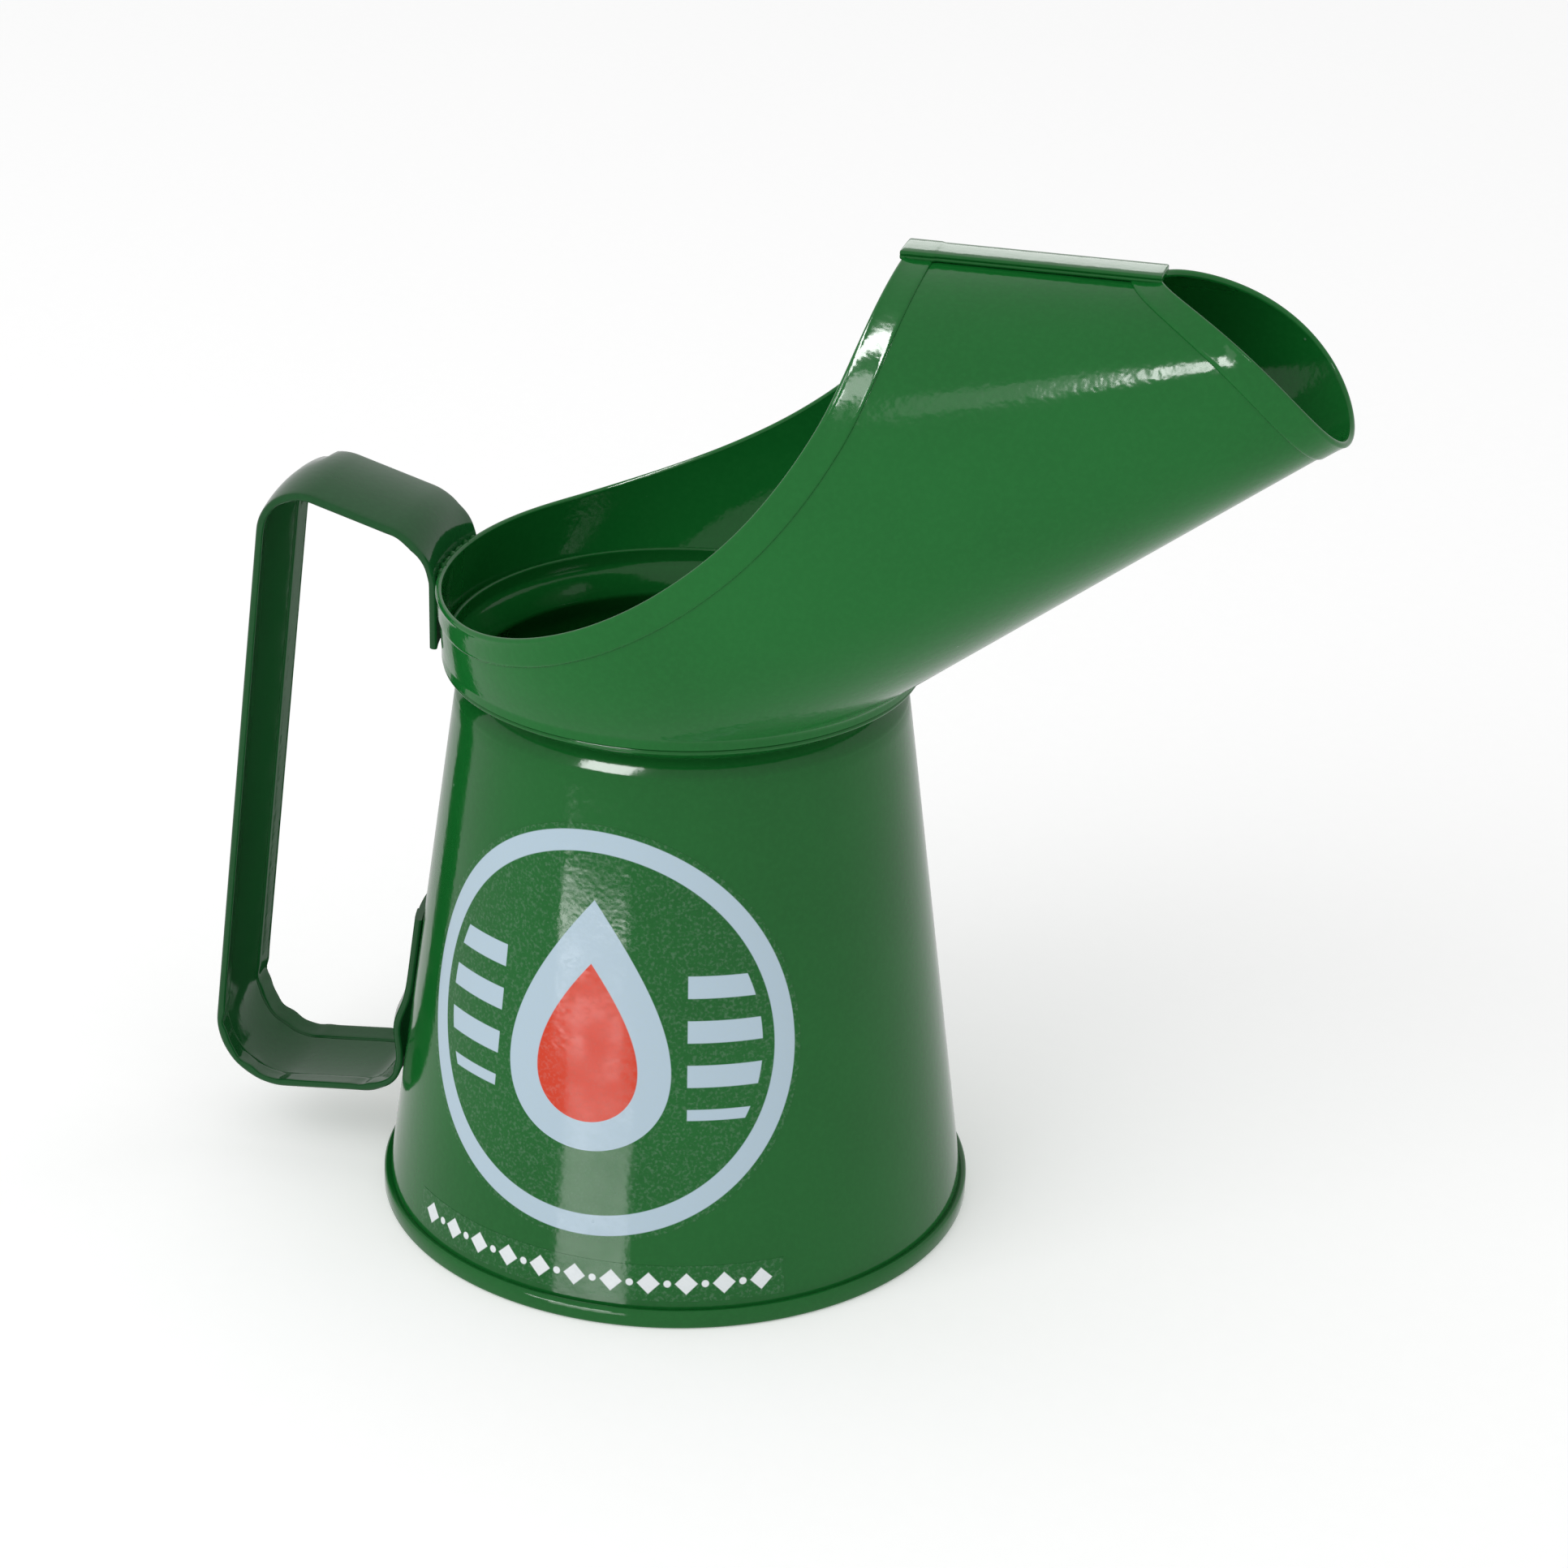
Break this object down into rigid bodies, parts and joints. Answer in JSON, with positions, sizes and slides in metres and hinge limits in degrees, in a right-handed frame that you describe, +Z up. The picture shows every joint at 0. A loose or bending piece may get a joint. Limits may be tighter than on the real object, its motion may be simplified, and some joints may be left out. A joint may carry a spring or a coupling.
{
  "type": "oil pouring jug",
  "caption": "Enamelled sheet-metal oil pouring jug: tapered body, open hood that closes to a forward lip, strap handle at the back.",
  "frame": {"origin": "on the floor, under the middle of the object's box; the body's axis is 15 mm behind it", "axes": "+X towards the pouring lip, +Z up, so +Y is the left of a person who looks towards the lip; the decorated side faces -Y"},
  "size_m": [0.2292, 0.124, 0.21],
  "materials": {
    "body enamel": "gloss",
    "base enamel": "gloss",
    "hood enamel": "gloss",
    "strip enamel": "gloss",
    "handle enamel": "gloss",
    "emblem print": "satin",
    "border print": "satin"
  },
  "bodies": {
    "root": {"tapered_body": "body enamel", "base_pan": "base enamel", "pouring_hood": "hood enamel", "top_seam_strip": "strip enamel", "handle_strap": "handle enamel", "emblem_transfer": "emblem print", "border_transfer": "border print"}
  },
  "joints": []
}
